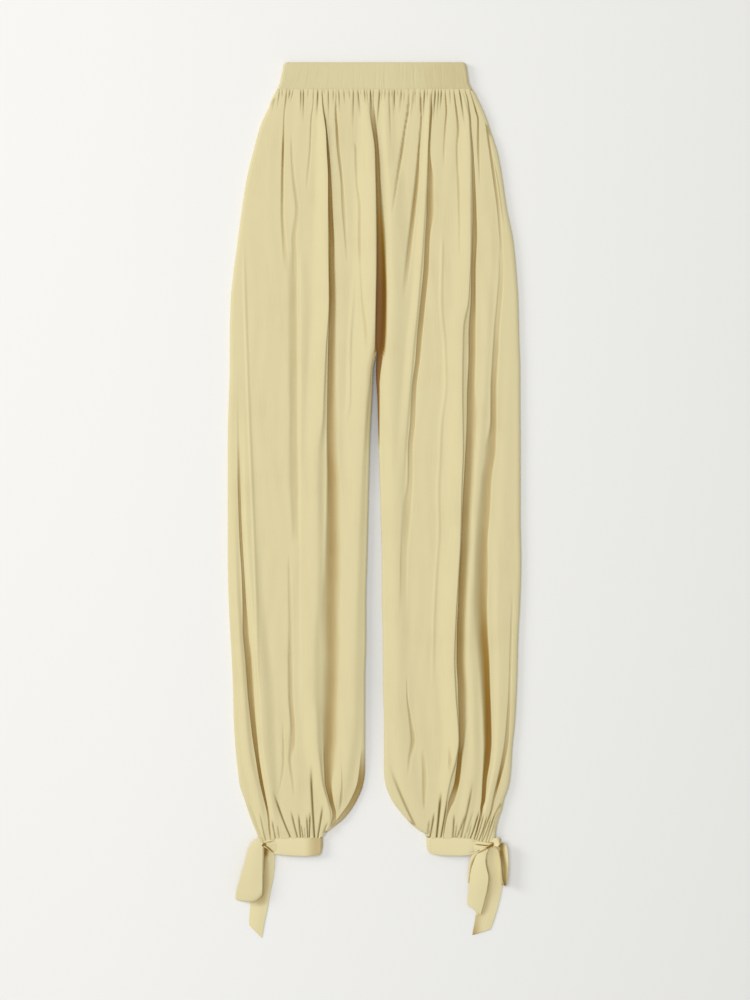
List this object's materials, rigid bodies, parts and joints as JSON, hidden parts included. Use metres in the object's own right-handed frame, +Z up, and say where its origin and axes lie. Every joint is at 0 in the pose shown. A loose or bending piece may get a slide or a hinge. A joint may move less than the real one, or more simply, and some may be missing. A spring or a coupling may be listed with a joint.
{
  "type": "tapered trousers",
  "caption": "Full, gathered trousers with a wide elastic waistband, legs tapering into narrow band cuffs, each tied in a bow at its outer side, laid flat.",
  "frame": {"origin": "middle of the bounding box, on the surface that the trousers lie on", "axes": "+Y from the cuffs to the waist, +Z up out of the surface, +X to the right as seen from above with the waist at the top"},
  "size_m": [0.388, 1.1572, 0.0166],
  "materials": {
    "panel_cloth": "silky crepe",
    "waistband_cloth": "silky crepe over elastic",
    "tie_cloth": "silky crepe"
  },
  "bodies": {
    "root": {"waistband": "waistband_cloth", "front_left": "panel_cloth", "front_right": "panel_cloth", "back_left": "panel_cloth", "back_right": "panel_cloth", "left_cuff": "tie_cloth", "right_cuff": "tie_cloth", "left_knot": "tie_cloth", "left_loop": "tie_cloth", "left_tail": "tie_cloth", "right_knot": "tie_cloth", "right_side_loop": "tie_cloth", "right_under_loop": "tie_cloth", "right_front_tail": "tie_cloth", "right_back_tail": "tie_cloth"}
  },
  "joints": []
}
